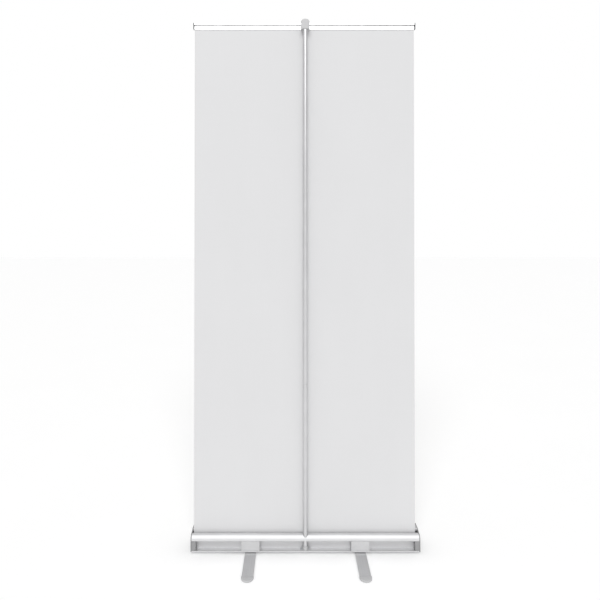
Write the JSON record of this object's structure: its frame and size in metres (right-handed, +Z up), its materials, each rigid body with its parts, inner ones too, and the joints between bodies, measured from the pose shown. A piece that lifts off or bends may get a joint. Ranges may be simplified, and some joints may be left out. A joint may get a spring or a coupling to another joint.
{
  "type": "roll-up banner stand",
  "caption": "Free-standing roll-up banner stand: floor cassette with a sprung roller, swivel feet, sectional pole at the back, clamp rail and plain banner.",
  "frame": {"origin": "on the floor, midway between the two foot pivots, under the cassette's middle", "axes": "X along the cassette with +X at its spring end, -Y the printed side of the banner, +Y the back with the pole, +Z up"},
  "size_m": [0.8738, 0.4, 2.038],
  "materials": {
    "anodised_aluminium": "satin anodised",
    "zinc_steel": "zinc plated",
    "grey_plastic": "moulded, fine grain",
    "dark_plastic": "moulded, fine grain",
    "banner_film": "plain grey-white back of a printed film",
    "black_elastic": "woven elastic cord"
  },
  "bodies": {
    "cassette": {"casing_extrusion": "anodised_aluminium", "end_cap_left": "grey_plastic", "end_cap_right": "grey_plastic", "end_cap_screw_left_upper": "zinc_steel", "end_cap_screw_left_lower": "zinc_steel", "end_cap_screw_right_upper": "zinc_steel", "end_cap_screw_right_lower": "zinc_steel", "bay_block_left": "grey_plastic", "bay_block_right": "grey_plastic", "foot_bolt_left": "zinc_steel", "foot_bolt_right": "zinc_steel", "foot_washer_left": "grey_plastic", "foot_washer_right": "grey_plastic", "foot_nut_left": "zinc_steel", "foot_nut_right": "zinc_steel", "idle_axle": "zinc_steel", "spring_arbor": "zinc_steel", "spring_collar": "zinc_steel", "torsion_spring": "zinc_steel", "pole_cup": "grey_plastic", "pole_cup_screw_left": "zinc_steel", "pole_cup_screw_right": "zinc_steel", "pole_section_lower": "anodised_aluminium", "pole_section_middle": "anodised_aluminium", "pole_section_upper": "anodised_aluminium", "pole_spigot_lower": "zinc_steel", "pole_spigot_upper": "zinc_steel", "pole_cord": "black_elastic", "pole_foot_plug": "dark_plastic", "pole_top_head": "grey_plastic"},
    "roller": {"roller_tube": "anodised_aluminium", "wound_banner": "banner_film", "roller_plug_idle": "grey_plastic", "roller_plug_spring": "grey_plastic", "arbor_support_bush": "grey_plastic"},
    "foot_left": {"foot_bar_left": "anodised_aluminium", "foot_tip_left_rear": "grey_plastic", "foot_tip_left_front": "grey_plastic"},
    "foot_right": {"foot_bar_right": "anodised_aluminium", "foot_tip_right_rear": "grey_plastic", "foot_tip_right_front": "grey_plastic"},
    "rail": {"top_rail_body": "anodised_aluminium", "rail_end_cap_left": "dark_plastic", "rail_end_cap_right": "dark_plastic", "banner_graphic": "banner_film"},
    "jaw": {"top_rail_jaw": "anodised_aluminium"}
  },
  "joints": [
    {"name": "rail_travel", "type": "slide", "parent": "cassette", "child": "rail", "axis": [0, 0, 1], "range_m": [-1.925, 0.006], "deforming": ["banner_graphic"]},
    {"name": "roller_spin", "type": "hinge", "parent": "cassette", "child": "roller", "pos_m": [0, -0.0011, 0.04], "axis": [1, 0, 0], "range_deg": [-5400, 30]},
    {"name": "jaw_snap", "type": "hinge", "parent": "rail", "child": "jaw", "pos_m": [0, 0.0162, 2.0243], "axis": [-1, 0, 0], "range_deg": [0, 55]},
    {"name": "foot_left_swing", "type": "hinge", "parent": "cassette", "child": "foot_left", "pos_m": [0.208, 0, 0.0045], "axis": [0, 0, 1], "range_deg": [0, 90]},
    {"name": "foot_right_swing", "type": "hinge", "parent": "cassette", "child": "foot_right", "pos_m": [-0.208, 0, 0.0045], "axis": [0, 0, -1], "range_deg": [0, 90]}
  ],
  "couplings": [
    {"joint": "roller_spin", "follows": "rail_travel", "rad_per_m": 48.5}
  ]
}
